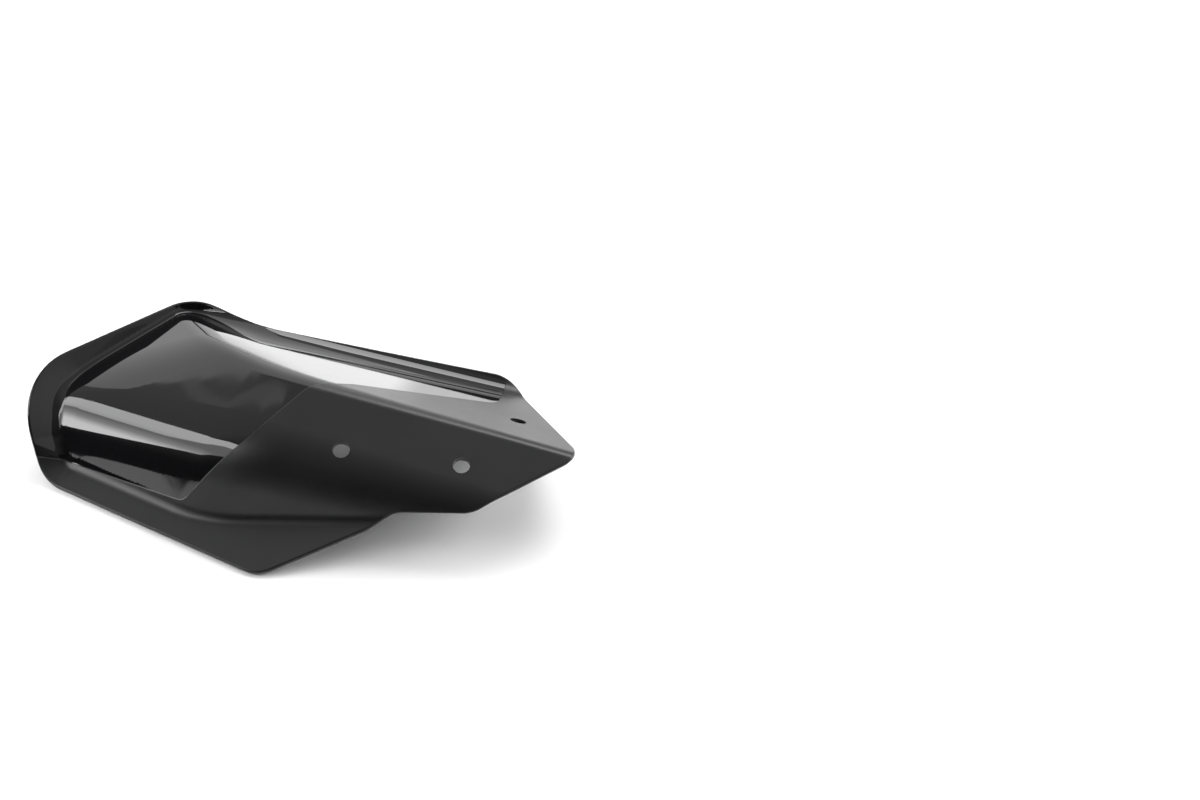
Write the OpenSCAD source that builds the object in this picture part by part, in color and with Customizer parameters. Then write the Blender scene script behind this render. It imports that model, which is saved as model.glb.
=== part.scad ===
// Hand guard shell for a motorcycle handlebar, left of a mirror-image pair.
// One moulded plastic shell with three bolt holes, lying on its open side.
// The shell is laid out in its moulding frame: x along the guard, p across it,
// h out of the mould. It is then leaned back by "lean" so that it rests on z = 0.

/* [Shell] */
// thickness of the moulded wall
wall = 3; // [2:0.1:4]
// how far the rounded cut edge stands out past the faces
edge_round = 0.9; // [0.4:0.1:1.4]
// angle between the moulding plane and the table, degrees
lean = 30; // [26:0.5:34]

/* [Bolt holes] */
// diameter of the three bolt holes
bore_d = 8.8; // [6:0.1:10]
// place of the hole in the middle of the front face, x and p
bore_mid = [25.2, -16.6];
// place of the hole near the narrow end of the front face, x and p
bore_end = [86.2, -24.9];
// place of the hole in the top face, x and p
bore_top = [113.5, 12.3];

/* [Rim corners] */
// left end, upper corner: x, p, h
rim_left_up = [-150.4, 35.2, 38.6];
// back corner at the crown: x, p, h
rim_crown = [-67.3, 97.2, 1];
// bend in the back edge: x, p, h
rim_back = [-25.3, 76.8, 5.9];
// end of the back edge: x, p, h
rim_back_end = [108.8, 56.8, -16.5];
// narrow tip: x, p, h
rim_tip = [147.4, -18.2, 60];
// lower corner of the narrow end: x, p, h
rim_narrow = [91.9, -50.4, 61.6];
// inside corner between the narrow end and the flap: x, p, h
rim_notch = [52.4, -48, 55.8];
// foot of the flap: x, p, h
rim_foot = [-16.8, -77.9, 47.9];
// left end, lower corner: x, p, h
rim_left_low = [-137, -13.7, 11.2];
// corner radii in plan, in the order of the corners above
rim_radii = [46, 22, 60, 20, 11, 18, 16, 16, 25];

/* [Turned-up rim] */
// rise per millimetre of the rim at the left end and the crown
lip_rise = 0.92; // [0.7:0.01:1.1]
// rise per millimetre of the rim at the bend in the back edge
lip_rise_back = 0.22; // [0.1:0.01:0.5]
// rise per millimetre of the rim at the end of the back edge
lip_rise_end = 0.5; // [0.2:0.05:0.7]
// rise per millimetre of the flange along the bottom
flange_rise = 0.15; // [0.05:0.05:0.25]
// width of the flange along the bottom
flange_w = 14.5; // [12:0.5:17]
// softness of the crease between rim and faces: left end and flange, bend in the
// back edge, end of the back edge
crease_soft = [4, 19, 14];

/* [Faces] */
// main face: height at the origin, rise along x, rise along p
main_face = [69.8, 0.286, -0.279];
// front face of the narrow end
front_face = [63.7, -0.032, -0.113];
// top face, falling to the back
top_face = [97.2, -0.431, -1.434];
// shoulder face at the upper left
shoulder_face = [104.2, 0.392, -0.852];
// steep face under the front face
under_face = [86.7, 0.26, 0.918];
// rise per millimetre of the lower wall at the left end
wall_rise_left = 0.93; // [0.8:0.01:1.1]
// rise per millimetre of the lower wall near the foot
wall_rise_foot = 0.8; // [0.7:0.01:1]

/* [Rounding between faces] */
// softness between top face and shoulder face
soft_shoulder = 6; // [3:1:10]
// softness between main face and front face
soft_front = 7; // [4:1:12]
// softness of the ridge under the top face: left end, middle, narrow end
soft_ridge = [9, 7, 4];
// softness of the lower ridge: left end, middle, narrow end
soft_lower = [19, 18.5, 14];

/* [Mesh] */
// points round the rim, an even number
around = 140; // [96:4:168]
// rows between the turned-up rim and the ridge
inner_rows = 5; // [4:1:8]

/* [Part] */
// which sub-part to draw

/* [Hidden] */
$fn = 48;
half = around / 2;
// distances of the rows near the rim from the cut edge
rim_rows = [0, 2.5, 5.5, 8.5, 11, 13.5, 16, 19, 23];
// distances of the rows beside the ridge, where the two halves of the mesh meet
ridge_rows = [9, 5.5, 2.5];
rows = len(rim_rows) + inner_rows + len(ridge_rows);
// the ridge in plan: left end, apex where three faces meet, bend, narrow end
ridge = [[-112, 40], [-46, 52], [17, 21], [133, -14]];

rim = [rim_left_up, rim_crown, rim_back, rim_back_end, rim_tip,
       rim_narrow, rim_notch, rim_foot, rim_left_low];
low_dir = unit2(rim_foot - rim_left_low);
low_climb = (rim_foot[2] - rim_left_low[2]) / len2(rim_foot - rim_left_low);
// the turned-up rim follows this path, run on past both of its ends
lip_corners = [
    [for (k = [0:2]) (rim_back_end + run_on(rim_back, rim_back_end, 40))[k]],
    rim_back, rim_crown, rim_left_up, rim_left_low,
    [for (k = [0:2]) (rim_foot + run_on(rim_left_low, rim_foot, 60))[k]]];
lip_radii = [0, rim_radii[2], rim_radii[1], rim_radii[0], rim_radii[8], 0];
lip_rises = [lip_rise_end, lip_rise_back, lip_rise, lip_rise, flange_rise, flange_rise];

function len2(v) = norm([v[0], v[1]]);
function unit2(v) = [v[0], v[1]] / len2(v);
function run_on(a, b, l) = (b - a) * l / len2(b - a);
function mix(a, b, f) = a + (b - a) * f;
function clip(v, lo, hi) = max(lo, min(hi, v));
function blend3(v, x) = x < 0 ? mix(v[0], v[1], clip((x + 110) / 110, 0, 1))
                              : mix(v[1], v[2], clip(x / 110, 0, 1));

// smooth lower and upper of two heights, k sets how wide the rounding is
function soft_min(a, b, k) = let (f = clip(0.5 + 0.5 * (b - a) / k, 0, 1))
    b + (a - b) * f - k * f * (1 - f);
function soft_max(a, b, k) = -soft_min(-a, -b, k);
function face(f, x, p) = f[0] + f[1] * x + f[2] * p;

// lower wall: starts at the flange and gets less steep towards the foot
function lower_wall(x, p) =
    let (rx = x - rim_left_low[0], rp = p - rim_left_low[1],
         s = rx * low_dir[0] + rp * low_dir[1],
         d = rp * low_dir[0] - rx * low_dir[1],
         rise = mix(wall_rise_left, wall_rise_foot, clip(s / 135, 0, 1)))
    rim_left_low[2] + low_climb * s - flange_rise * flange_w + rise * (d - flange_w);

function body(x, p) =
    let (top = soft_min(face(top_face, x, p), face(shoulder_face, x, p), soft_shoulder),
         front = soft_min(face(main_face, x, p), face(front_face, x, p), soft_front),
         upper = soft_min(top, front, blend3(soft_ridge, x)),
         lower = soft_min(lower_wall(x, p), face(under_face, x, p), 8))
    soft_min(upper, lower, blend3(soft_lower, x));

// rounded corner b between a and c: points with height and one more value
function corner(a, b, c, ra, rb, rc, r, n) =
    let (da = unit2(a - b), dc = unit2(c - b), la = len2(a - b), lc = len2(c - b),
         ang = acos(clip(da * dc, -1, 1)),
         t = min(r / tan(ang / 2), 0.6 * la, 0.6 * lc),
         rr = t * tan(ang / 2),
         cen = [b[0], b[1]] + unit2(da + dc) * norm([t, rr]),
         p1 = [b[0], b[1]] + da * t - cen, p2 = [b[0], b[1]] + dc * t - cen,
         a1 = atan2(p1[1], p1[0]), turn = (atan2(p2[1], p2[0]) - a1 + 540) % 360 - 180,
         h1 = mix(b[2], a[2], t / la), h2 = mix(b[2], c[2], t / lc),
         s1 = mix(rb, ra, t / la), s2 = mix(rb, rc, t / lc))
    [for (k = [0:n]) let (w = k / n)
        [cen[0] + rr * cos(a1 + turn * w), cen[1] + rr * sin(a1 + turn * w),
         (1 - w) * (1 - w) * h1 + 2 * w * (1 - w) * b[2] + w * w * h2,
         (1 - w) * (1 - w) * s1 + 2 * w * (1 - w) * rb + w * w * s2]];

lip_path = [
    [lip_corners[0][0], lip_corners[0][1], lip_corners[0][2], lip_rises[0]],
    for (i = [1:4])
        each corner(lip_corners[i - 1], lip_corners[i], lip_corners[i + 1],
            lip_rises[i - 1], lip_rises[i], lip_rises[i + 1], lip_radii[i], 10),
    [lip_corners[5][0], lip_corners[5][1], lip_corners[5][2], lip_rises[5]]];

// height of the turned-up rim at a place: each leg gives [distance, height]
function leg(a, b, x, p) =
    let (e = [b[0] - a[0], b[1] - a[1]], q = [x - a[0], p - a[1]],
         f = clip((q * e) / (e * e), 0, 1), d = norm(q - e * f))
    [d, mix(a[2], b[2], f) - mix(a[3], b[3], f) * d];
function nearest(legs) = let (m = min([for (l = legs) l[0]])) [for (l = legs) if (l[0] == m) l][0];
function lip(x, p) = nearest([for (i = [0:len(lip_path) - 2]) leg(lip_path[i], lip_path[i + 1], x, p)])[1];
// the crease gets wider along the back edge
function crease(x, p) = p < rim_left_low[1] || x < rim_crown[0] ? crease_soft[0]
    : x < rim_back[0] ? mix(crease_soft[0], crease_soft[1], (x - rim_crown[0]) / (rim_back[0] - rim_crown[0]))
    : mix(crease_soft[1], crease_soft[2], clip((x - rim_back[0]) / (rim_back_end[0] - rim_back[0]), 0, 1));
function height(x, p) = soft_max(body(x, p), lip(x, p), crease(x, p));
// outward normal of the outer surface in the moulding frame
function normal(x, p, h) =
    let (e = 0.2, v = [(h - height(x + e, p)) / e, (h - height(x, p + e)) / e, 1]) v / norm(v);

// plan outline with rounded corners, as evenly spaced points from the left end
rim_path = [for (i = [0:8]) each corner(rim[(i + 8) % 9], rim[i], rim[(i + 1) % 9],
    0, 0, 0, rim_radii[i], 10)];
function spread(path, n) =
    let (m = len(path),
         d = [for (i = 0, s = 0; i < m; s = s + norm([for (k = [0:1]) path[min(i + 1, m - 1)][k] - path[i][k]]),
              i = i + 1) s])
    [for (j = [0:n]) let (s = d[m - 1] * j / n,
        i = max([for (k = [0:m - 2]) if (d[k] <= s + 0.0001) k]),
        f = clip((s - d[i]) / max(d[i + 1] - d[i], 0.0001), 0, 1))
        [mix(path[i][0], path[i + 1][0], f), mix(path[i][1], path[i + 1][1], f)]];
left_mid = (rim_left_up + rim_left_low) / 2;
tip_mid = rim_path[4 * 11 + 5];
upper_path = [left_mid, for (i = [0:4 * 11 + 5]) rim_path[i]];
lower_path = [left_mid, for (i = [98:-1:4 * 11 + 5]) rim_path[i]];
upper = spread(upper_path, half);
lower = spread(lower_path, half);

// points along the ridge, closer together at its ends
ridge_points = spread(ridge, 200);
function mid_point(i) = ridge_points[round(100 - 100 * cos(180 * i / half))];
// a place on the mesh: column i round the rim, row j inwards
function place(side, i, j) =
    let (q = side[i], s = mid_point(i), l = norm(s - q), m = len(rim_rows), n = m + inner_rows,
         shrink = min(1, l / 60),
         last = rim_rows[m - 1] * shrink + edge_round, first = l - ridge_rows[0] * shrink,
         d = j < m ? rim_rows[j] * shrink + edge_round
             : j < n ? mix(last, first, (j - m + 1) / (inner_rows + 1))
             : l - ridge_rows[j - n] * shrink)
    q + (s - q) * (d / l);
// moulding frame to table frame
function lay(v) = [v[0], v[1] * cos(lean) - v[2] * sin(lean), v[1] * sin(lean) + v[2] * cos(lean)];
// outer point, then its normal
function skin(xy) = let (h = height(xy[0], xy[1])) [[xy[0], xy[1], h], normal(xy[0], xy[1], h)];

// columns 0 to around - 1 go round the rim: upper side first, then back along the lower side
function column(c) = c <= half ? [upper, c] : [lower, around - c];
// all rows of every column, then the points of the ridge
grid = [for (j = [0:rows - 1], c = [0:around - 1]) let (u = column(c)) skin(place(u[0], u[1], j))];
middle = [for (i = [0:half]) skin(mid_point(i))];
shell = concat(grid, middle);
function at(c, j) = j < rows ? j * around + (c % around)
    : rows * around + (c % around <= half ? c % around : around - c % around);
count = len(shell);
outer_points = [for (s = shell) lay(s[0])];
inner_points = [for (s = shell) lay(s[0] - s[1] * wall)];
// rounded cut edge: three rows between the outer and the inner surface
edge_points = [for (k = [1:3], c = [0:around - 1])
    let (s = shell[c], out = shell[c][0] - shell[c + around][0], a = 45 * k)
    lay(s[0] - s[1] * (wall / 2) * (1 - cos(a)) + out / norm(out) * edge_round * sin(a))];
all_points = concat(outer_points, inner_points, edge_points);
// the shell is centred over the origin and its lowest points are put on z = 0
low = [for (k = [0:2]) min([for (v = all_points) v[k]])];
high = [for (k = [0:2]) max([for (v = all_points) v[k]])];
shift = [-(low[0] + high[0]) / 2, -(low[1] + high[1]) / 2, -low[2]];
points = [for (v = all_points) v + shift];

function quad(a, b, c, d) = norm(points[a] - points[c]) < norm(points[b] - points[d])
    ? [[a, b, c], [a, c, d]] : [[b, c, d], [b, d, a]];
function real(tri) = tri[0] != tri[1] && tri[1] != tri[2] && tri[2] != tri[0];
function ring(k, c) = k == 0 ? c % around : k == 4 ? count + c % around
    : 2 * count + (k - 1) * around + c % around;
outer_faces = [for (j = [0:rows - 1], c = [0:around - 1])
    each quad(at(c, j), at(c + 1, j), at(c + 1, j + 1), at(c, j + 1))];
inner_faces = [for (t = outer_faces) [t[2] + count, t[1] + count, t[0] + count]];
edge_faces = [for (k = [0:3], c = [0:around - 1])
    each quad(ring(k + 1, c), ring(k + 1, c + 1), ring(k, c + 1), ring(k, c))];
faces = [for (t = concat(outer_faces, inner_faces, edge_faces)) if (real(t)) t];

// bolt hole square to the outer surface at a place
module bore(xy) {
    s = skin(xy);
    v = lay(s[1]);
    translate(lay(s[0]) + shift)
        rotate([0, acos(v[2]), atan2(v[1], v[0])])
            translate([0, 0, -3 * wall])
                cylinder(d = bore_d, h = 6 * wall);
}

module guard_shell() {
    color([0.06, 0.06, 0.065])
        difference() {
            polyhedron(points = points, faces = faces, convexity = 8);
            bore(bore_mid);
            bore(bore_end);
            bore(bore_top);
        }
}

guard_shell();
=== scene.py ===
"""Studio picture of a moulded motorcycle hand guard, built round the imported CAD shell.

The shell is laid out in its moulding frame in millimetres: x along the guard, p across it and
h out of the mould. It is then leaned back onto the table and scaled to metres.
"""

import logging
import math
from dataclasses import dataclass, field, replace
from enum import Enum

import bpy
import numpy as np
from mathutils import Matrix, Vector
from mathutils.geometry import delaunay_2d_cdt

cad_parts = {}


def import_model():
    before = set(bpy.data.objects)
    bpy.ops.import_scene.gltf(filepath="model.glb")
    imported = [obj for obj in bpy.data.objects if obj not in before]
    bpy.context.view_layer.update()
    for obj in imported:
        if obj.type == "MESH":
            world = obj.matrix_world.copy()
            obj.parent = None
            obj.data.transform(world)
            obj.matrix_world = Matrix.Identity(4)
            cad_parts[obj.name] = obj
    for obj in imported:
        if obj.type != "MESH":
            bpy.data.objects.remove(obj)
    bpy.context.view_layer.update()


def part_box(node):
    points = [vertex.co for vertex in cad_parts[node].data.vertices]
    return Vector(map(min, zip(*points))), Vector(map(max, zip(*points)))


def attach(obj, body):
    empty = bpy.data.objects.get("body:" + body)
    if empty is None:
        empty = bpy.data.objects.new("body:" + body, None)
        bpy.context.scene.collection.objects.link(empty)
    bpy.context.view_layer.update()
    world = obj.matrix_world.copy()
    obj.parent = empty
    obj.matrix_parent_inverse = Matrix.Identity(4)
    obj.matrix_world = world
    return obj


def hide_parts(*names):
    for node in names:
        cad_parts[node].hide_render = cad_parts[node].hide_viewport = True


LOG = logging.getLogger("hand_guard")
Pairs = tuple[tuple[float, float], ...]
Inputs = dict[str | int, float | tuple[float, ...] | bpy.types.NodeSocket]

# One millimetre in metres.
MM = 0.001
# Keeps a division away from zero.
TINY = 1e-12
# Points of a path that are closer than this are one.
SAME_PLACE = 1e-6
# Most of a leg that the rounding at one of its ends may take up.
LEG_SHARE = 0.6
# The point that the lamps face.
FACED_POINT = Vector((0.0, 0.0, 0.04))
# Where the left strip's upper and lower panel meet.
STRIP_DIVIDE: Pairs = ((0.008, -0.006), (0.028, 0.018), (0.05, 0.036), (0.105, 0.062), (0.17, 0.075))


class Finish(Enum):
    """The two surface finishes of the moulding, by material slot on the shell."""

    POLISHED = 0
    GRAINED = 1


def soft_min(a: np.ndarray, b: np.ndarray, k: np.ndarray | float) -> np.ndarray:
    """Lower of two heights, with a rounding of width k."""
    f = np.clip(0.5 + 0.5 * (b - a) / k, 0.0, 1.0)
    return b + (a - b) * f - k * f * (1.0 - f)


def soft_max(a: np.ndarray, b: np.ndarray, k: np.ndarray | float) -> np.ndarray:
    """Upper of two heights, with a rounding of width k."""
    return -soft_min(-a, -b, k)


def distance_to_path(points: np.ndarray, path: np.ndarray, closed: bool = False) -> np.ndarray:
    """Shortest plan distance from each point to a path.

    Args:
        points: plan points, one per row.
        path: corners of the path, one per row.
        closed: whether the last corner joins the first.

    Returns:
        One distance per point.
    """
    ends = np.roll(path, -1, axis=0) if closed else path[1:]
    starts = path if closed else path[:-1]
    best = np.full(len(points), np.inf)
    for a, b in zip(starts, ends):
        e = b - a
        f = np.clip((points - a) @ e / max(e @ e, TINY), 0.0, 1.0)
        best = np.minimum(best, np.linalg.norm(points - a - f[:, None] * e, axis=1))
    return best


def unit(vectors: np.ndarray) -> np.ndarray:
    """Vectors at unit length."""
    return vectors / np.linalg.norm(vectors, axis=-1, keepdims=True)


def chords(loop: np.ndarray) -> np.ndarray:
    """Vector from the point before to the point after, at each point of a closed loop."""
    return np.roll(loop, -1, axis=0) - np.roll(loop, 1, axis=0)


def twice_areas(points: np.ndarray, triangles: np.ndarray) -> np.ndarray:
    """Cross product of each triangle's two sides at its first corner."""
    a, b, c = (points[triangles[:, k]] for k in range(3))
    return np.cross(b - a, c - a)


def inside_loop(points: np.ndarray, loop: np.ndarray) -> np.ndarray:
    """Whether each plan point lies inside a closed loop.

    Args:
        points: plan points, one per row.
        loop: corners of the loop, one per row.

    Returns:
        One truth value per point.
    """
    within = np.zeros(len(points), bool)
    x, y = points[:, 0], points[:, 1]
    for (ax, ay), (bx, by) in zip(loop, np.roll(loop, -1, axis=0)):
        if ay == by:
            continue
        crosses = (ay > y) != (by > y)
        within ^= crosses & (x < (bx - ax) * (y - ay) / (by - ay) + ax)
    return within


@dataclass(frozen=True)
class Corner:
    """A corner of a rounded path in plan, with a height and one more value carried along.

    Attributes:
        x: place along the guard.
        p: place across the guard.
        radius: rounding radius in plan.
        h: height at the corner.
        rise: second value at the corner.
    """

    x: float
    p: float
    radius: float = 0.0
    h: float = 0.0
    rise: float = 0.0

    def row(self) -> np.ndarray:
        """The corner as x, p, h and rise."""
        return np.array([self.x, self.p, self.h, self.rise])


@dataclass(frozen=True)
class Leg:
    """A straight leg of a path; its ends are rows of x, p, h and rise."""

    start: np.ndarray
    end: np.ndarray

    def rows(self, steps: int) -> np.ndarray:
        """Both ends of the leg."""
        return np.stack([self.start, self.end])

    def foot(self, x: np.ndarray, p: np.ndarray) -> tuple[np.ndarray, np.ndarray]:
        """Distance from each place to the leg.

        Args:
            x, p: places along and across the guard.

        Returns:
            The distances, and the height and rise at the nearest point of the leg.
        """
        e = (self.end - self.start)[:2]
        f = np.clip(((x - self.start[0]) * e[0] + (p - self.start[1]) * e[1]) / (e @ e), 0.0, 1.0)
        distance = np.hypot(x - self.start[0] - e[0] * f, p - self.start[1] - e[1] * f)
        return distance, self.start[2:] + f[..., None] * (self.end - self.start)[2:]


@dataclass(frozen=True)
class Arc:
    """A rounding in a path, with the height and the rise carried along it.

    Attributes:
        middle: centre in plan.
        radius: radius in plan.
        start: direction of its first point from the centre, in radians.
        turn: signed angle that it turns through.
        values: height and rise at its first point, at the corner and at its last point.
    """

    middle: np.ndarray
    radius: float
    start: float
    turn: float
    values: np.ndarray

    @classmethod
    def at(cls, a: np.ndarray, b: np.ndarray, c: np.ndarray, radius: float) -> "Arc":
        """The rounding at corner b between a and c.

        Args:
            a: the corner before, as x, p, h and rise.
            b: the corner itself.
            c: the corner after.
            radius: radius in plan.

        Returns:
            The rounding.
        """
        to_a, to_c = (a - b)[:2], (c - b)[:2]
        la, lc = np.linalg.norm(to_a), np.linalg.norm(to_c)
        da, dc = to_a / la, to_c / lc
        half = math.acos(float(np.clip(da @ dc, -1.0, 1.0))) / 2
        t = min(radius / math.tan(half), LEG_SHARE * la, LEG_SHARE * lc)
        r = t * math.tan(half)
        middle = b[:2] + (da + dc) / np.linalg.norm(da + dc) * math.hypot(t, r)
        first, last = b[:2] + da * t - middle, b[:2] + dc * t - middle
        start = math.atan2(first[1], first[0])
        turn = (math.atan2(last[1], last[0]) - start + 3 * math.pi) % (2 * math.pi) - math.pi
        values = np.stack([b[2:] + (a - b)[2:] * t / la, b[2:], b[2:] + (c - b)[2:] * t / lc])
        return cls(middle, r, start, turn, values)

    def carried(self, w: np.ndarray) -> np.ndarray:
        """Height and rise at each share of the way along the rounding."""
        w = w[..., None]
        return (1 - w) ** 2 * self.values[0] + 2 * w * (1 - w) * self.values[1] + w * w * self.values[2]

    def rows(self, steps: int) -> np.ndarray:
        """Points along the rounding.

        Args:
            steps: steps from its first point to its last.

        Returns:
            One row of x, p, h and rise per point.
        """
        w = np.linspace(0.0, 1.0, steps + 1)
        angle = self.start + self.turn * w
        plan = self.middle + self.radius * np.stack([np.cos(angle), np.sin(angle)], axis=1)
        return np.hstack([plan, self.carried(w)])

    def foot(self, x: np.ndarray, p: np.ndarray) -> tuple[np.ndarray, np.ndarray]:
        """Distance from each place to the rounding.

        Args:
            x, p: places along and across the guard.

        Returns:
            The distances, infinite beside its ends, and the height and rise at the nearest point.
        """
        qx, qp = x - self.middle[0], p - self.middle[1]
        angle = (np.arctan2(qp, qx) - self.start - self.turn / 2 + math.pi) % (2 * math.pi) - math.pi
        w = angle / self.turn + 0.5
        distance = np.abs(np.hypot(qx, qp) - self.radius)
        return np.where((w >= 0.0) & (w <= 1.0), distance, np.inf), self.carried(np.clip(w, 0.0, 1.0))


def legs_of(corners: list[Corner], closed: bool) -> list[Leg | Arc]:
    """The straight legs and the roundings of a path through corners.

    Args:
        corners: the corners in order.
        closed: whether the path closes on itself.

    Returns:
        The pieces in order.
    """
    rows = [c.row() for c in corners]
    n = len(rows)
    arcs = [Arc.at(rows[i - 1], rows[i], rows[(i + 1) % n], c.radius) if c.radius > 0.0 else None
            for i, c in enumerate(corners)]
    ends = [(row, row) if arc is None else tuple(arc.rows(1)) for row, arc in zip(rows, arcs)]
    pieces: list[Leg | Arc] = []
    for i, arc in enumerate(arcs):
        if arc is not None:
            pieces.append(arc)
        if closed or i < n - 1:
            pieces.append(Leg(ends[i][1], ends[(i + 1) % n][0]))
    return pieces


def rounded_path(corners: list[Corner], closed: bool, steps: int) -> np.ndarray:
    """Points of a path through corners with their roundings.

    Args:
        corners: the corners in order.
        closed: whether the path closes on itself.
        steps: steps along each rounding.

    Returns:
        One row of x, p, h and rise per point.
    """
    points = np.vstack([piece.rows(steps) for piece in legs_of(corners, closed)])
    fresh = np.linalg.norm(points[:, :2] - np.roll(points, 1, axis=0)[:, :2], axis=1) > SAME_PLACE
    if not closed:
        fresh[0] = True
    return points[fresh]


def resampled(path: np.ndarray, pitch: float, closed: bool) -> np.ndarray:
    """A path with points about one pitch apart that keeps its corners.

    Args:
        path: points of the path, one per row.
        pitch: wanted distance between points.
        closed: whether the path closes on itself.

    Returns:
        The denser path.
    """
    ends = np.roll(path, -1, axis=0) if closed else path[1:]
    out: list[np.ndarray] = []
    for a, b in zip(path, ends):
        n = max(1, round(float(np.linalg.norm((b - a)[:2])) / pitch))
        out.extend(a + (b - a) * k / n for k in range(n))
    if not closed:
        out.append(path[-1])
    return np.array(out)


@dataclass(frozen=True)
class Plane:
    """One face of the shell, as its height over the moulding plane.

    Attributes:
        level: height at the origin.
        along: rise per millimetre along x.
        across: rise per millimetre along p.
    """

    level: float
    along: float
    across: float

    def height(self, x: np.ndarray, p: np.ndarray) -> np.ndarray:
        """Height of the face at each place."""
        return self.level + self.along * x + self.across * p


@dataclass
class ShellForm:
    """The outer surface of the guard as a height over the moulding plane.

    The sizes are those of the CAD shell, in millimetres and as rise per millimetre. The rim rises
    towards the cut edge by lip_rise on the left side and round the crown, by lip_rise_back where the
    back edge starts, by lip_rise_end past the narrow end and by flange_rise along the lower edge.
    crease_soft is the rounding inside it at the crown and at both ends of the back edge. soft_ridge
    and soft_lower are the roundings along the upper and the lower ridge, at the places in soft_at.
    """

    wall: float = 3.0
    edge_round: float = 0.9
    lean: float = 30.0
    bore_radius: float = 4.4
    bores: Pairs = ((25.2, -16.6), (86.2, -24.9), (113.5, 12.3))
    rim: tuple[Corner, ...] = (
        Corner(-150.4, 35.2, 46.0, 38.6),
        Corner(-67.3, 97.2, 22.0, 1.0),
        Corner(-25.3, 76.8, 60.0, 5.9),
        Corner(108.8, 56.8, 20.0, -16.5),
        Corner(147.4, -18.2, 11.0, 60.0),
        Corner(91.9, -50.4, 18.0, 61.6),
        Corner(52.4, -48.0, 16.0, 55.8),
        Corner(-16.8, -77.9, 16.0, 47.9),
        Corner(-137.0, -13.7, 25.0, 11.2),
    )
    lip_rise: float = 0.92
    lip_rise_back: float = 0.22
    lip_rise_end: float = 0.5
    flange_rise: float = 0.15
    flange_width: float = 14.5
    crease_soft: tuple[float, float, float] = (4.0, 19.0, 14.0)
    main_face: Plane = Plane(69.8, 0.286, -0.279)
    front_face: Plane = Plane(63.7, -0.032, -0.113)
    top_face: Plane = Plane(97.2, -0.431, -1.434)
    shoulder: Plane = Plane(104.2, 0.392, -0.852)
    under_face: Plane = Plane(86.7, 0.26, 0.918)
    wall_rise: tuple[float, float] = (0.93, 0.8)
    wall_rise_run: float = 135.0
    soft_shoulder: float = 6.0
    soft_front: float = 7.0
    soft_wall: float = 8.0
    soft_ridge: tuple[float, float, float] = (9.0, 7.0, 4.0)
    soft_lower: tuple[float, float, float] = (19.0, 18.5, 14.0)
    soft_at: tuple[float, float, float] = (-110.0, 0.0, 110.0)
    back_run_on: float = 40.0
    foot_run_on: float = 60.0
    rim_legs: list[Leg | Arc] = field(init=False)

    def __post_init__(self) -> None:
        """Lays the path that the turned-up rim follows."""
        up, crown, back, back_end = self.rim[0], self.rim[1], self.rim[2], self.rim[3]
        foot, low = self.rim[7], self.rim[8]
        corners = [
            self.run_on(back, back_end, self.back_run_on, self.lip_rise_end),
            replace(back, rise=self.lip_rise_back),
            replace(crown, rise=self.lip_rise),
            replace(up, rise=self.lip_rise),
            replace(low, rise=self.flange_rise),
            self.run_on(low, foot, self.foot_run_on, self.flange_rise),
        ]
        self.rim_legs = legs_of(corners, closed=False)

    @staticmethod
    def run_on(a: Corner, b: Corner, length: float, rise: float) -> Corner:
        """The corner that lies past b on the line from a, with the rim's rise there."""
        f = length / math.hypot(b.x - a.x, b.p - a.p)
        return Corner(b.x + (b.x - a.x) * f, b.p + (b.p - a.p) * f, 0.0, b.h + (b.h - a.h) * f, rise)

    def lower_wall(self, x: np.ndarray, p: np.ndarray) -> np.ndarray:
        """Height of the lower wall, which starts at the flange and gets less steep towards the foot.

        Args:
            x, p: places along and across the guard.

        Returns:
            One height per place.
        """
        low, foot = self.rim[8], self.rim[7]
        run = math.hypot(foot.x - low.x, foot.p - low.p)
        ux, up = (foot.x - low.x) / run, (foot.p - low.p) / run
        s = (x - low.x) * ux + (p - low.p) * up
        d = (p - low.p) * ux - (x - low.x) * up
        rise = np.interp(s, [0.0, self.wall_rise_run], self.wall_rise)
        base = low.h + (foot.h - low.h) / run * s - self.flange_rise * self.flange_width
        return base + rise * (d - self.flange_width)

    def faces(self, x: np.ndarray, p: np.ndarray) -> np.ndarray:
        """Height of all the faces, rounded into each other.

        Args:
            x, p: places along and across the guard.

        Returns:
            One height per place.
        """
        top = soft_min(self.top_face.height(x, p), self.shoulder.height(x, p), self.soft_shoulder)
        front = soft_min(self.main_face.height(x, p), self.front_face.height(x, p), self.soft_front)
        upper = soft_min(top, front, np.interp(x, self.soft_at, self.soft_ridge))
        lower = soft_min(self.lower_wall(x, p), self.under_face.height(x, p), self.soft_wall)
        return soft_min(upper, lower, np.interp(x, self.soft_at, self.soft_lower))

    def turned_rim(self, x: np.ndarray, p: np.ndarray) -> np.ndarray:
        """Height of the turned-up rim, from the nearest leg of its path.

        Args:
            x, p: places along and across the guard.

        Returns:
            One height per place.
        """
        nearest = np.full(np.shape(x), np.inf)
        height = np.zeros(np.shape(x))
        for piece in self.rim_legs:
            distance, carried = piece.foot(x, p)
            closer = distance < nearest
            inward = np.where(closer, distance, 0.0)
            height = np.where(closer, carried[..., 0] - carried[..., 1] * inward, height)
            nearest = np.minimum(nearest, distance)
        return height

    def crease(self, x: np.ndarray, p: np.ndarray) -> np.ndarray:
        """Softness of the crease inside the rim, which gets wider along the back edge."""
        wide = np.interp(x, [self.rim[1].x, self.rim[2].x, self.rim[3].x], self.crease_soft)
        return np.where(p < self.rim[8].p, self.crease_soft[0], wide)

    def height(self, x: np.ndarray, p: np.ndarray) -> np.ndarray:
        """Height of the outer surface at each place."""
        return soft_max(self.faces(x, p), self.turned_rim(x, p), self.crease(x, p))

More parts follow.
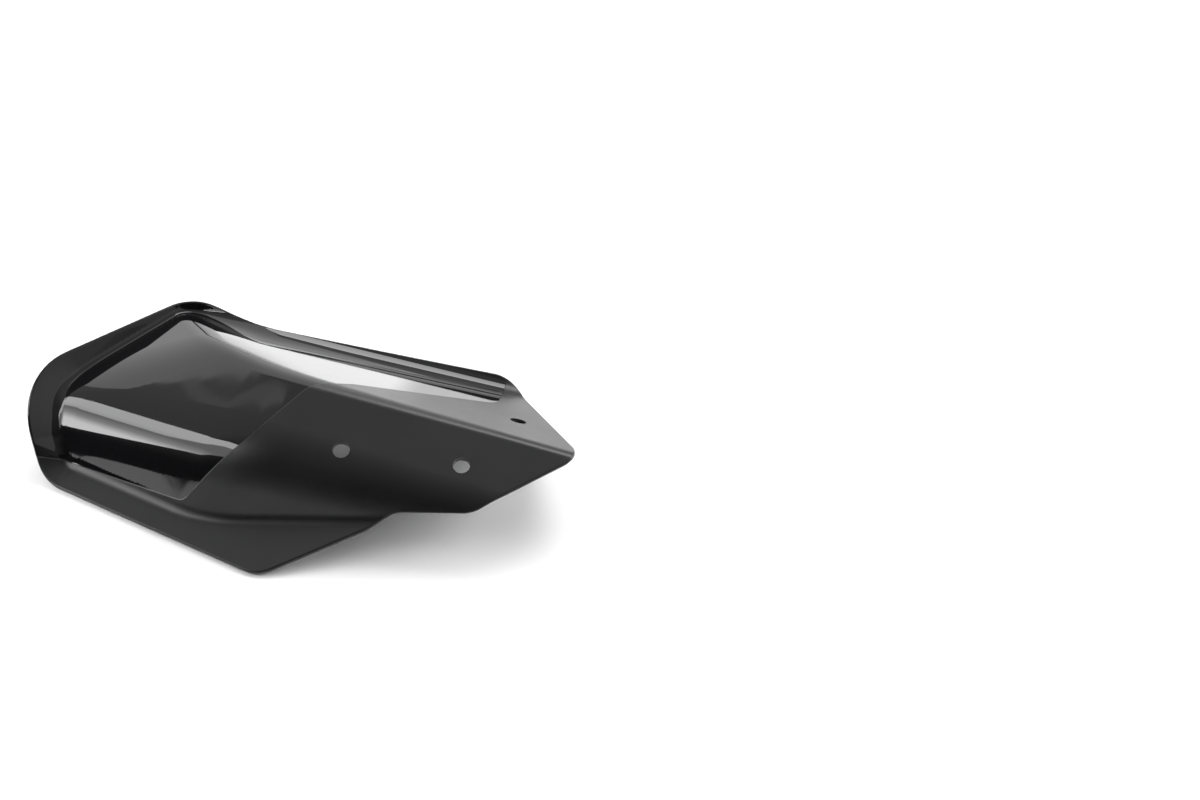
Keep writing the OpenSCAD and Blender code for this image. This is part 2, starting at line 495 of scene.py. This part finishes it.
    def normal(self, x: np.ndarray, p: np.ndarray, step: float = 0.05) -> np.ndarray:
        """Outward normal of the outer surface in the moulding frame.

        Args:
            x, p: places along and across the guard.
            step: half the distance over which the slope is taken.

        Returns:
            One unit vector per place.
        """
        along = (self.height(x + step, p) - self.height(x - step, p)) / (2 * step)
        across = (self.height(x, p + step) - self.height(x, p - step)) / (2 * step)
        return unit(np.stack([-along, -across, np.ones_like(along)], axis=-1))

    def turned(self, vectors: np.ndarray) -> np.ndarray:
        """Turns vectors of the moulding frame into the row frame.

        Args:
            vectors: vectors, x, p and h in the last axis.

        Returns:
            The turned vectors.
        """
        c, s = math.cos(math.radians(self.lean)), math.sin(math.radians(self.lean))
        x, p, h = vectors[..., 0], vectors[..., 1], vectors[..., 2]
        return np.stack([x, p * c - h * s, p * s + h * c], axis=-1)


@dataclass
class FaceList:
    """Groups of triangles, with the material slot and the corner normals of each triangle."""

    triangles: list[np.ndarray] = field(default_factory=list)
    finishes: list[np.ndarray] = field(default_factory=list)
    normals: list[np.ndarray] = field(default_factory=list)

    def add(self, triangles: np.ndarray, grained: np.ndarray, normals: np.ndarray) -> None:
        """Adds a group of triangles.

        Args:
            triangles: rows of point numbers.
            grained: whether each triangle has the grained finish.
            normals: three normals per triangle.
        """
        self.triangles.append(triangles)
        self.finishes.append(np.where(grained, Finish.GRAINED.value, Finish.POLISHED.value))
        self.normals.append(normals)

    def join(
        self, rows: list[np.ndarray], shades: list[np.ndarray], grained: np.ndarray, turned: bool
    ) -> None:
        """Joins neighbouring rows of a closed strip by triangles.

        Args:
            rows: point numbers of each row.
            shades: normals of each row.
            grained: whether the triangles at each point have the grained finish.
            turned: whether they have to be turned over to face outwards.
        """
        ahead = np.roll(np.arange(len(rows[0])), -1)
        order = slice(None, None, -1 if turned else 1)
        for a, b, na, nb in zip(rows, rows[1:], shades, shades[1:]):
            one = np.stack([a, b, a[ahead]], axis=1)
            two = np.stack([a[ahead], b, b[ahead]], axis=1)
            shade_one = np.stack([na, nb, na[ahead]], axis=1)
            shade_two = np.stack([na[ahead], nb, nb[ahead]], axis=1)
            self.add(one[:, order], grained, shade_one[:, order])
            self.add(two[:, order], grained, shade_two[:, order])


@dataclass
class ShellMesh:
    """The shell's mesh: a fine plan net with the finish line and the bores cut into it.

    Attributes:
        form: the surface that the net is laid over.
        pitch: distance between the net's points.
        edge_clear, cut_clear: how far free points keep from the cut edge and from the other cuts,
            in pitches.
        weld: how close two plan points lie that become one.
        line_gap, line_step: width and height of the step between the two finishes.
        line_near: how close to the finish line a point counts as lying on it.
        reach: how far out the grained side is closed round the shell.
        bore_sides, edge_rows: points round each bore and rows along each cut edge.
        rim_steps, line_steps: steps along each rounding of the cut edge and of the finish line.
        finish_line: corners of the line between the two finishes, from the back edge to the left end.
    """

    form: ShellForm
    pitch: float = 1.25
    edge_clear: float = 0.55
    cut_clear: float = 0.4
    weld: float = 1e-5
    line_gap: float = 0.35
    line_step: float = 0.2
    line_near: float = 0.02
    reach: float = 200.0
    bore_sides: int = 48
    edge_rows: int = 6
    rim_steps: int = 14
    line_steps: int = 10
    finish_line: tuple[Corner, ...] = (
        Corner(107.0, 66.0),
        Corner(101.5, 30.6, 7.0),
        Corner(28.0, 26.3, 16.0),
        Corner(7.0, 19.4, 18.0),
        Corner(-20.0, -7.5, 70.0),
        Corner(-58.5, -33.8, 7.0),
        Corner(-127.5, -2.3, 10.0),
        Corner(-158.0, -3.5),
    )

    def rim_loop(self) -> np.ndarray:
        """The cut edge in plan, drawn in by the rounding of the edge.

        Returns:
            One plan point per row.
        """
        path = rounded_path(list(self.form.rim), closed=True, steps=self.rim_steps)[:, :2]
        loop = resampled(path, self.pitch, closed=True)
        along = unit(chords(loop))
        inward = np.stack([along[:, 1], -along[:, 0]], axis=1)
        return loop + inward * self.form.edge_round

    def bore_loop(self, place: tuple[float, float]) -> np.ndarray:
        """The plan outline of a bore that is drilled square to the surface.

        Args:
            place: the bore's middle, x and p.

        Returns:
            One plan point per side of the bore.
        """
        n = self.form.normal(np.array([place[0]]), np.array([place[1]]))[0]
        side = np.cross(n, [0.0, 1.0, 0.0])
        side /= np.linalg.norm(side)
        up = np.cross(n, side)
        turn = np.linspace(0.0, 2 * math.pi, self.bore_sides, endpoint=False)[:, None]
        ring = self.form.bore_radius * (np.cos(turn) * side + np.sin(turn) * up)
        return np.array(place) + ring[:, :2]

    def finish_path(self) -> np.ndarray:
        """The line between the two finishes, with its corners rounded."""
        path = rounded_path(list(self.finish_line), closed=False, steps=self.line_steps)[:, :2]
        return resampled(path, self.pitch, closed=False)

    def side_of_line(self, points: np.ndarray) -> np.ndarray:
        """Whether each plan point lies on the grained side of the finish line.

        Args:
            points: plan points, one per row.

        Returns:
            One truth value per point.
        """
        line = self.finish_path()
        out = self.reach
        far = np.array([[-out, line[-1][1]], [-out, -out], [out, -out], [out, line[0][1]]])
        return inside_loop(points, np.vstack([line, far]))

    def offset_line(self, line: np.ndarray, distance: float) -> np.ndarray:
        """The finish line moved sideways towards the polished side."""
        along = unit(np.gradient(line, axis=0))
        return line + np.stack([along[:, 1], -along[:, 0]], axis=1) * distance

    def step_lines(self, rim: np.ndarray) -> list[np.ndarray]:
        """Both edges of the step between the finishes, stopped short of the cut edge.

        Args:
            rim: the cut edge in plan.

        Returns:
            The plan points of each edge.
        """
        line = self.finish_path()
        lines = []
        for path in (line, self.offset_line(line, self.line_gap)):
            clear = distance_to_path(path, rim, closed=True) > self.cut_clear * self.pitch
            lines.append(path[inside_loop(path, rim) & clear])
        return lines

    def free_points(self, rim: np.ndarray, bores: list[np.ndarray], lines: list[np.ndarray]) -> np.ndarray:
        """Points of an even net inside the cut edge, clear of all that is cut into it.

        Args:
            rim: the cut edge in plan.
            bores: outlines of the bores.
            lines: edges of the step between the finishes.

        Returns:
            One plan point per row.
        """
        low, high = rim.min(axis=0), rim.max(axis=0)
        rows = []
        for k, p in enumerate(np.arange(low[1], high[1], self.pitch * math.sqrt(3) / 2)):
            xs = np.arange(low[0] + (k % 2) * self.pitch / 2, high[0], self.pitch)
            rows.append(np.stack([xs, np.full_like(xs, p)], axis=1))
        free = np.vstack(rows)
        free = free[inside_loop(free, rim)]
        free = free[distance_to_path(free, rim, closed=True) > self.edge_clear * self.pitch]
        for loop in bores:
            clear = distance_to_path(free, loop, closed=True) > self.cut_clear * self.pitch
            free = free[~inside_loop(free, loop) & clear]
        for path in lines:
            free = free[distance_to_path(free, path) > self.cut_clear * self.pitch]
        return free

    def plan_net(self) -> tuple[np.ndarray, np.ndarray]:
        """Triangulates the plan of the shell.

        Returns:
            The plan points, the rim's and the bores' first, and the triangles between them.
        """
        rim = self.rim_loop()
        bores = [self.bore_loop(place) for place in self.form.bores]
        lines = self.step_lines(rim)
        points: list[np.ndarray] = []
        edges: list[tuple[int, int]] = []
        start = 0
        for path in (rim, *bores, *lines):
            n = len(path)
            closed = len(points) <= len(bores)
            edges += [(start + k, start + (k + 1) % n) for k in range(n if closed else n - 1)]
            points.append(path)
            start += n
        points.append(self.free_points(rim, bores, lines))
        places = [Vector(q) for q in np.vstack(points).tolist()]
        result = delaunay_2d_cdt(places, edges, [], 0, self.weld)
        flat = np.array([tuple(v) for v in result[0]])
        triangles = np.array([list(t) for t in result[2]])
        middle = flat[triangles].mean(axis=1)
        keep = inside_loop(middle, rim)
        for loop in bores:
            keep &= ~inside_loop(middle, loop)
        return flat, triangles[keep]

    def lift(self, plan: np.ndarray, sink: np.ndarray) -> tuple[np.ndarray, np.ndarray]:
        """Lays plan points on the outer surface.

        Args:
            plan: plan points, one per row.
            sink: how far each lies below the surface.

        Returns:
            The points and their normals in the moulding frame.
        """
        x, p = plan[:, 0], plan[:, 1]
        normals = self.form.normal(x, p)
        points = np.stack([x, p, self.form.height(x, p)], axis=1) - normals * sink[:, None]
        return points, normals

    def edge_strip(
        self, top: np.ndarray, bottom: np.ndarray, outward: np.ndarray, bulge: float
    ) -> tuple[np.ndarray, list[np.ndarray]]:
        """Rows that join the outer and the inner skin along a loop.

        Args:
            top: the loop's points on the outer skin, in order.
            bottom: its points on the inner skin.
            outward: direction away from the material at each point of the loop.
            bulge: how far the middle of the strip stands out.

        Returns:
            The rows' points and, for each row, its outward directions.
        """
        middle, half = (top + bottom) / 2, (top - bottom) / 2
        rows, facing = [], []
        for k in range(1, self.edge_rows):
            turn = math.pi * k / self.edge_rows
            rows.append(middle + half * math.cos(turn) + outward * bulge * math.sin(turn))
            facing.append(unit(half) * math.cos(turn) + outward * math.sin(turn))
        return np.array(rows), facing

    def seated(self, vertices: np.ndarray) -> np.ndarray:
        """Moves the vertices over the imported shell's middle and onto the table.

        Args:
            vertices: vertices in the row frame, in millimetres.

        Returns:
            The moved vertices in metres.
        """
        box_low, box_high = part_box("guard_shell")
        low, high = vertices.min(axis=0), vertices.max(axis=0)
        centre = (Vector(box_low) + Vector(box_high)) / 2 / MM
        shift = np.array([centre.x - (low[0] + high[0]) / 2, centre.y - (low[1] + high[1]) / 2, -low[2]])
        LOG.info("shell: moved by %s mm", shift.round(4))
        return (vertices + shift) * MM

    def build(self) -> bpy.types.Object:
        """Builds the shell as one closed mesh with two finishes.

        Returns:
            The new object.
        """
        plan, triangles = self.plan_net()
        used, order = np.unique(triangles, return_inverse=True)
        plan, triangles = plan[used], order.reshape(triangles.shape)
        facing_down = twice_areas(plan, triangles) < 0
        triangles[facing_down] = triangles[facing_down][:, ::-1]
        grained = self.side_of_line(plan)
        on_line = distance_to_path(plan, self.finish_path()) < self.line_near
        sink = np.where(grained | on_line, 0.0, self.line_step)
        outer, normals = self.lift(plan, sink)
        surface, _ = self.lift(plan, np.zeros(len(plan)))
        inner = surface - normals * self.form.wall

        sinks = sink[triangles]
        ramp = (sinks.max(axis=1) - sinks.min(axis=1)) > self.line_step / 2
        flat = twice_areas(outer, triangles)
        flat /= np.maximum(np.linalg.norm(flat, axis=1, keepdims=True), TINY)
        shades = normals[triangles]
        shades[ramp] = flat[ramp][:, None, :]
        inside, count = triangles[:, ::-1], len(plan)
        faces = FaceList()
        faces.add(triangles, self.side_of_line(plan[triangles].mean(axis=1)) | ramp, shades)
        faces.add(inside + count, np.ones(len(inside), bool), -normals[inside])

        points = [outer, inner]
        start = 2 * count
        first = len(self.rim_loop())
        loops = [(np.arange(first), self.form.edge_round)]
        for _ in self.form.bores:
            loops.append((np.arange(first, first + self.bore_sides), 0.0))
            first += self.bore_sides
        for loop, bulge in loops:
            outward = unit(np.cross(chords(outer[loop]), normals[loop]))
            flow = (outward[:, :2] * (plan[loop] - plan[loop].mean(axis=0))).sum()
            turned = (flow > 0) != (bulge > 0)
            outward *= -1.0 if turned else 1.0
            rows, facing = self.edge_strip(outer[loop], inner[loop], outward, bulge)
            n = len(loop)
            index = [loop] + [start + k * n + np.arange(n) for k in range(len(rows))] + [loop + count]
            matte = np.ones(n, bool)
            shades = [outward] * len(index)
            if bulge > 0:
                matte = grained[loop]
                shades = [normals[loop], *facing, -normals[loop]]
            faces.join(index, shades, matte, turned)
            points.append(rows.reshape(-1, 3))
            start += len(rows) * n

        vertices = self.seated(self.form.turned(np.vstack(points)))
        shading = self.form.turned(np.concatenate(faces.normals))
        mesh = bpy.data.meshes.new("guard_shell_skin")
        mesh.from_pydata(vertices.tolist(), [], np.vstack(faces.triangles).tolist())
        mesh.polygons.foreach_set("material_index", np.concatenate(faces.finishes).astype(np.int32))
        mesh.polygons.foreach_set("use_smooth", np.ones(len(mesh.polygons), bool))
        mesh.normals_split_custom_set(shading.reshape(-1, 3).tolist())
        mesh.update()
        shell = bpy.data.objects.new("guard_shell_skin", mesh)
        bpy.context.scene.collection.objects.link(shell)
        LOG.info("shell: %d points, %d triangles", len(vertices), len(mesh.polygons))
        return shell


def feed(tree: bpy.types.NodeTree, node: bpy.types.Node, inputs: Inputs) -> None:
    """Sets or links the inputs of a shader node.

    Args:
        tree: the tree that the node is in.
        node: the node.
        inputs: a constant or another node's output for each input, by the input's name or number.
    """
    for name, value in inputs.items():
        if isinstance(value, bpy.types.NodeSocket):
            tree.links.new(value, node.inputs[name])
        else:
            node.inputs[name].default_value = value


def add_node(
    tree: bpy.types.NodeTree, kind: str, inputs: Inputs | None = None, **options: str
) -> bpy.types.Node:
    """Adds a shader node.

    Args:
        tree: the tree of a material or of the world.
        kind: type of the node, without its prefix.
        inputs: what its inputs get.
        options: its other settings.

    Returns:
        The new node.
    """
    node = tree.nodes.new("ShaderNode" + kind)
    for name, value in options.items():
        setattr(node, name, value)
    feed(tree, node, inputs or {})
    return node


def add_ramp(
    tree: bpy.types.NodeTree,
    place: bpy.types.NodeSocket,
    stops: list[tuple[float, float]],
    easing: str = "LINEAR",
) -> bpy.types.NodeSocket:
    """Adds a ramp of greys.

    Args:
        tree: the tree of a material or of the world.
        place: the output that the ramp is read at.
        stops: place and level of each stop, from the lowest place up.
        easing: how the ramp runs between its stops.

    Returns:
        The ramp's colour.
    """
    ramp = add_node(tree, "ValToRGB", {"Fac": place})
    ramp.color_ramp.interpolation = easing
    elements = ramp.color_ramp.elements
    while len(elements) < len(stops):
        elements.new(0.5)
    for element, (position, level) in zip(elements, stops):
        element.position = position
        element.color = (level, level, level, 1.0)
    return ramp.outputs["Color"]


def new_material(name: str) -> bpy.types.Material:
    """Makes a material with nodes.

    Args:
        name: name of the material.

    Returns:
        The new material.
    """
    material = bpy.data.materials.new(name)
    material.use_nodes = True
    return material


@dataclass(frozen=True)
class PolishedPlastic:
    """Mirror-smooth black moulding with faint wipe marks."""

    colour: tuple[float, float, float, float] = (0.004, 0.004, 0.0046, 1.0)
    roughness: float = 0.035
    ior: float = 1.5

    def material(self) -> bpy.types.Material:
        """Builds the material.

        Returns:
            The new material.
        """
        material = new_material("polished_black_plastic")
        tree = material.node_tree
        place = add_node(tree, "TexCoord").outputs["Object"]
        wipes = add_node(tree, "TexNoise", {"Vector": place, "Scale": 30.0, "Detail": 4.0, "Distortion": 0.6})
        spread = add_node(tree, "MapRange", {
            "Value": wipes.outputs["Fac"],
            "From Min": 0.35,
            "From Max": 0.75,
            "To Min": self.roughness * 0.6,
            "To Max": self.roughness * 1.8,
        })
        flow = add_node(tree, "TexNoise", {"Vector": place, "Scale": 55.0, "Detail": 1.0})
        bump = add_node(tree, "Bump", {"Height": flow.outputs["Fac"], "Strength": 0.05, "Distance": 0.0004})
        feed(tree, tree.nodes["Principled BSDF"], {
            "Base Color": self.colour,
            "IOR": self.ior,
            "Roughness": spread.outputs["Result"],
            "Normal": bump.outputs["Normal"],
        })
        return material


@dataclass(frozen=True)
class GrainedPlastic:
    """Fine matte grain of the same black moulding, with a light sheen at low angles."""

    colour: tuple[float, float, float] = (0.003, 0.003, 0.0034)
    roughness: float = 0.4
    ior: float = 1.38
    sheen: float = 0.3
    sheen_roughness: float = 0.28

    def material(self) -> bpy.types.Material:
        """Builds the material.

        Returns:
            The new material.
        """
        material = new_material("grained_black_plastic")
        tree = material.node_tree
        place = add_node(tree, "TexCoord").outputs["Object"]
        grain = add_node(tree, "TexNoise", {"Vector": place, "Scale": 1400.0, "Detail": 3.0})
        patches = add_node(tree, "TexNoise", {"Vector": place, "Scale": 45.0, "Detail": 5.0})
        tone = add_node(tree, "ValToRGB", {"Fac": patches.outputs["Fac"]})
        for element, (position, factor) in zip(tone.color_ramp.elements, ((0.35, 0.85), (0.7, 1.2))):
            element.position = position
            element.color = tuple(factor * c for c in self.colour) + (1.0,)
        spread = add_node(tree, "MapRange", {
            "Value": patches.outputs["Fac"],
            "To Min": self.roughness - 0.05,
            "To Max": self.roughness + 0.05,
        })
        bump = add_node(tree, "Bump", {"Height": grain.outputs["Fac"], "Strength": 0.35, "Distance": 0.00006})
        feed(tree, tree.nodes["Principled BSDF"], {
            "Base Color": tone.outputs["Color"],
            "IOR": self.ior,
            "Roughness": spread.outputs["Result"],
            "Coat Weight": self.sheen,
            "Coat Roughness": self.sheen_roughness,
            "Normal": bump.outputs["Normal"],
        })
        return material


@dataclass
class HandGuard:
    """The guard: its form and its two finishes."""

    form: ShellForm = field(default_factory=ShellForm)
    polished: PolishedPlastic = PolishedPlastic()
    grained: GrainedPlastic = GrainedPlastic()

    def build(self) -> bpy.types.Object:
        """Builds and dresses the shell.

        Returns:
            The finished shell.
        """
        shell = ShellMesh(self.form).build()
        shell.data.materials.append(self.polished.material())
        shell.data.materials.append(self.grained.material())
        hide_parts("guard_shell")
        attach(shell, "root")
        return shell


@dataclass(frozen=True)
class Lamp:
    """Something bright that faces the guard and stays out of the picture.

    Attributes:
        name: its name.
        azimuth: its direction in degrees, 0 in front, 90 to the right.
        elevation: its height above the table in degrees.
        distance: its distance from the guard in metres.
    """

    name: str
    azimuth: float
    elevation: float
    distance: float

    def toward(self) -> Vector:
        """The direction from the guard to the lamp, at unit length."""
        a, e = math.radians(self.azimuth), math.radians(self.elevation)
        return Vector((math.sin(a) * math.cos(e), -math.cos(a) * math.cos(e), math.sin(e)))

    def place(self) -> Vector:
        """Where the lamp's middle stands."""
        return self.toward() * self.distance + FACED_POINT

    def hang(self, lamp: bpy.types.Object) -> None:
        """Puts the lamp in the scene, hidden from the camera."""
        lamp.visible_camera = False
        bpy.context.scene.collection.objects.link(lamp)


@dataclass(frozen=True)
class Softbox(Lamp):
    """A rectangular studio lamp.

    Attributes:
        size: width and height in metres.
        radiance: brightness of its face.
    """

    size: tuple[float, float]
    radiance: float

    def build(self) -> bpy.types.Object:
        """Builds the lamp.

        Returns:
            The new lamp.
        """
        data = bpy.data.lights.new(self.name, "AREA")
        data.shape = "RECTANGLE"
        data.size, data.size_y = self.size
        data.energy = self.radiance * math.pi * self.size[0] * self.size[1]
        lamp = bpy.data.objects.new(self.name, data)
        lamp.location = self.place()
        lamp.rotation_mode = "QUATERNION"
        lamp.rotation_quaternion = self.toward().to_track_quat("Z", "Y")
        self.hang(lamp)
        return lamp


@dataclass(frozen=True)
class GlowPanel(Lamp):
    """A flat glowing panel of any outline, which the polished moulding mirrors.

    Attributes:
        outline: corners in the panel's own plane, sideways and up, in metres.
        levels: heights in the panel's plane and the radiance at each, from the lowest up.
    """

    outline: Pairs
    levels: Pairs

    def material(self) -> bpy.types.Material:
        """Builds the glow, which changes up the panel.

        Returns:
            The new material.
        """
        material = new_material(self.name)
        tree = material.node_tree
        low, high = self.levels[0][0], self.levels[-1][0]
        most = max(level for _, level in self.levels)
        split = add_node(tree, "SeparateXYZ", {0: add_node(tree, "TexCoord").outputs["Object"]})
        height = add_node(tree, "MapRange", {"Value": split.outputs["Y"], "From Min": low, "From Max": high})
        stops = [((place - low) / (high - low), level / most) for place, level in self.levels]
        colour = add_ramp(tree, height.outputs["Result"], stops)
        glow = add_node(tree, "Emission", {"Color": colour, "Strength": most})
        feed(tree, tree.nodes["Material Output"], {"Surface": glow.outputs[0]})
        return material

    def build(self) -> bpy.types.Object:
        """Builds the panel.

        Returns:
            The new panel.
        """
        toward, turn = self.toward(), math.radians(self.azimuth)
        side = Vector((math.cos(turn), math.sin(turn), 0.0))
        axes = Matrix((side, toward.cross(side), toward)).transposed()
        mesh = bpy.data.meshes.new(self.name)
        mesh.from_pydata([(u, v, 0.0) for u, v in self.outline], [], [tuple(range(len(self.outline)))])
        mesh.materials.append(self.material())
        panel = bpy.data.objects.new(self.name, mesh)
        panel.matrix_world = Matrix.Translation(self.place()) @ axes.to_4x4()
        self.hang(panel)
        return panel


@dataclass(frozen=True)
class Table:
    """White table, with a glow of its own in what the polished moulding mirrors.

    Attributes:
        outline: corners of the table in metres.
        colour, roughness: finish of its top.
        lift: glow that the camera sees, on top of the lamps' light.
        glow: places from front to back, in metres, and the mirrored radiance at each.
        glow_most: radiance that the glow is scaled by.
        glow_right, glow_change: factor on the glow to the right, and where it sets in, in metres.
    """

    outline: Pairs = ((-0.3, -0.088), (-0.45, -0.55), (6.0, -0.55), (6.0, 6.0), (-0.3, 6.0))
    colour: tuple[float, float, float, float] = (0.9, 0.9, 0.9, 1.0)
    roughness: float = 0.7
    lift: float = 0.03
    glow: Pairs = ((0.0, 0.3), (0.2, 1.5), (0.29, 1.5), (0.36, 0.1), (0.5, 0.1))
    glow_most: float = 2.0
    glow_right: float = 0.25
    glow_change: tuple[float, float] = (0.05, 0.07)

    def mirrored_glow(self, tree: bpy.types.NodeTree, glossy: bpy.types.NodeSocket) -> bpy.types.Node:
        """Adds the glow that only mirrored rays see.

        Args:
            tree: the tree of the table's material.
            glossy: the output that tells a mirrored ray.

        Returns:
            The glow.
        """
        span = self.glow[-1][0]
        split = add_node(tree, "SeparateXYZ", {0: add_node(tree, "TexCoord").outputs["Object"]})
        depth = add_node(tree, "MapRange", {"Value": split.outputs["Y"], "From Min": 0.0, "From Max": span})
        stops = [(place / span, level / self.glow_most) for place, level in self.glow]
        across = add_node(tree, "MapRange", {
            "Value": split.outputs["X"],
            "From Min": self.glow_change[0],
            "From Max": self.glow_change[1],
            "To Min": self.glow_most,
            "To Max": self.glow_most * self.glow_right,
        }, interpolation_type="SMOOTHSTEP")
        strength = add_node(tree, "Math", {0: glossy, 1: across.outputs["Result"]}, operation="MULTIPLY")
        return add_node(tree, "Emission", {
            "Color": add_ramp(tree, depth.outputs["Result"], stops, "EASE"),
            "Strength": strength.outputs[0],
        })

    def material(self) -> bpy.types.Material:
        """Builds the material: a matte white, the mirrored glow and the camera's lift.

        Returns:
            The new material.
        """
        material = new_material("white_table")
        tree = material.node_tree
        shader = tree.nodes["Principled BSDF"]
        feed(tree, shader, {"Base Color": self.colour, "Roughness": self.roughness})
        path = add_node(tree, "LightPath").outputs
        glow = self.mirrored_glow(tree, path["Is Glossy Ray"])
        seen = add_node(tree, "Math", {0: path["Is Camera Ray"], 1: self.lift}, operation="MULTIPLY")
        plain = add_node(tree, "Emission", {"Strength": seen.outputs[0]})
        glows = add_node(tree, "AddShader", {0: glow.outputs[0], 1: plain.outputs[0]})
        total = add_node(tree, "AddShader", {0: shader.outputs[0], 1: glows.outputs[0]})
        feed(tree, tree.nodes["Material Output"], {"Surface": total.outputs[0]})
        return material

    def build(self) -> None:
        """Lays the table under the guard."""
        mesh = bpy.data.meshes.new("table")
        corners = [(x, y, 0.0) for x, y in self.outline]
        mesh.from_pydata(corners, [], [tuple(range(len(corners)))])
        mesh.materials.append(self.material())
        table = bpy.data.objects.new("table", mesh)
        bpy.context.scene.collection.objects.link(table)


@dataclass(frozen=True)
class Room:
    """Light of the room: dark in front, pale overhead and behind, plain white to the camera.

    Attributes:
        levels: places from the horizon in front (0) over the top to the horizon behind (1), with
            the radiance at each.
    """

    levels: Pairs = ((0.0, 0.02), (0.12, 0.02), (0.3, 0.3), (0.45, 0.62), (0.8, 0.62), (1.0, 0.45))

    def build(self) -> None:
        """Lights the room."""
        world = bpy.data.worlds.new("room")
        bpy.context.scene.world = world
        world.use_nodes = True
        tree = world.node_tree
        split = add_node(tree, "SeparateXYZ", {0: add_node(tree, "TexCoord").outputs["Generated"]})
        forward = add_node(tree, "Math", {0: split.outputs["Y"], 1: -1.0}, operation="MULTIPLY")
        angle = add_node(tree, "Math", {0: split.outputs["Z"], 1: forward.outputs[0]}, operation="ARCTAN2")
        place = add_node(tree, "MapRange", {"Value": angle.outputs[0], "From Min": 0.0, "From Max": math.pi})
        plain = tree.nodes["Background"]
        feed(tree, plain, {"Color": add_ramp(tree, place.outputs["Result"], list(self.levels), "EASE")})
        white = add_node(tree, "Background", {"Color": (1.0, 1.0, 1.0, 1.0)})
        seen = add_node(tree, "LightPath").outputs["Is Camera Ray"]
        mix = add_node(tree, "MixShader", {"Fac": seen, 1: plain.outputs[0], 2: white.outputs[0]})
        feed(tree, tree.nodes["World Output"], {"Surface": mix.outputs[0]})


@dataclass
class Studio:
    """Table, room, lamps and camera.

    The camera's aim, distance and lens are in millimetres, its elevation is in degrees.
    """

    table: Table = Table()
    room: Room = Room()
    lamps: tuple[Lamp, ...] = (
        GlowPanel(
            "strip_top", -75.0, 24.0, 0.45,
            outline=(
                (-0.205, -0.006), *STRIP_DIVIDE, (0.17, 0.13), (0.085, 0.11), (0.03, 0.083), (0.0, 0.07),
                (-0.205, 0.064),
            ),
            levels=((-0.01, 6.2), (0.02, 7.6), (0.13, 7.6)),
        ),
        GlowPanel(
            "strip_low", -75.0, 24.0, 0.45,
            outline=(
                (-0.205, -0.128), (-0.005, -0.128), (0.06, -0.06), (0.11, -0.027), (0.19, 0.0),
                (0.19, 0.075), *reversed(STRIP_DIVIDE), (-0.205, -0.006),
            ),
            levels=(
                (-0.13, 12.0), (-0.082, 11.5), (-0.064, 8.0), (-0.045, 4.5), (-0.012, 2.4), (0.075, 2.4),
            ),
        ),
        GlowPanel(
            "back_wall", 180.0, 0.0, 1.2,
            outline=(
                (-0.2, 0.0), (0.7, 0.0), (0.978, 0.73), (1.435, 1.42), (1.57, 1.905), (1.438, 1.979),
                (1.427, 2.05), (1.443, 2.44), (1.4, 2.6), (-0.2, 2.6),
            ),
            levels=((0.0, 1.3), (1.9, 1.8), (2.6, 1.4)),
        ),
        GlowPanel(
            "octagon_box", 180.0, 0.0, 1.2,
            outline=(
                (1.506, 1.945), (1.529, 1.962), (1.544, 2.014), (1.542, 2.261), (1.597, 4.206),
                (1.511, 6.128), (1.482, 5.245), (1.479, 3.298),
            ),
            levels=((1.9, 0.95), (6.2, 1.4)),
        ),
        GlowPanel(
            "left_table", 0.0, -90.0, 0.04,
            outline=((-0.3, 0.088), (-12.0, 6.4), (-12.0, 11.0), (-0.45, 0.55)),
            levels=((0.0, 1.9), (3.0, 1.9)),
        ),
        GlowPanel(
            "left_card", -56.0, 0.5, 2.5,
            outline=((-0.33, -0.062), (0.5, -0.062), (0.5, -0.035), (-0.2, -0.035), (-0.33, -0.058)),
            levels=((-0.062, 1.8), (0.0, 1.8)),
        ),
        Softbox("right_back", 145.0, 50.0, 1.5, (0.9, 0.7), 6.0),
        Softbox("right_low", 105.0, 21.0, 1.5, (1.3, 0.32), 15.0),
        Softbox("right_fill", 62.0, 26.0, 1.5, (0.9, 0.9), 0.6),
    )
    aim: tuple[float, float, float] = (156.94, 58.53, 0.03)
    camera_distance: float = 1375.0
    camera_elevation: float = 38.0
    lens: float = 75.0

    def camera(self) -> None:
        """Places the camera at the photograph's angle."""
        data = bpy.data.cameras.new("camera")
        data.lens = self.lens
        data.sensor_width = 36.0
        data.clip_end = 50.0
        camera = bpy.data.objects.new("camera", data)
        e = math.radians(self.camera_elevation)
        back = Vector((0.0, -math.cos(e), math.sin(e)))
        camera.location = (Vector(self.aim) + back * self.camera_distance) * MM
        camera.rotation_mode = "QUATERNION"
        camera.rotation_quaternion = (-back).to_track_quat("-Z", "Y")
        bpy.context.scene.collection.objects.link(camera)
        bpy.context.scene.camera = camera

    def build(self) -> None:
        """Builds the whole studio."""
        self.camera()
        self.table.build()
        self.room.build()
        for lamp in self.lamps:
            lamp.build()
            LOG.info("lamp: %s", lamp.name)
        bpy.context.scene.view_settings.view_transform = "Standard"


def main() -> None:
    """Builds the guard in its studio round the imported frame."""
    logging.basicConfig(level=logging.INFO, format="%(message)s")
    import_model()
    Studio().build()
    HandGuard().build()


if __name__ == "__main__":
    main()
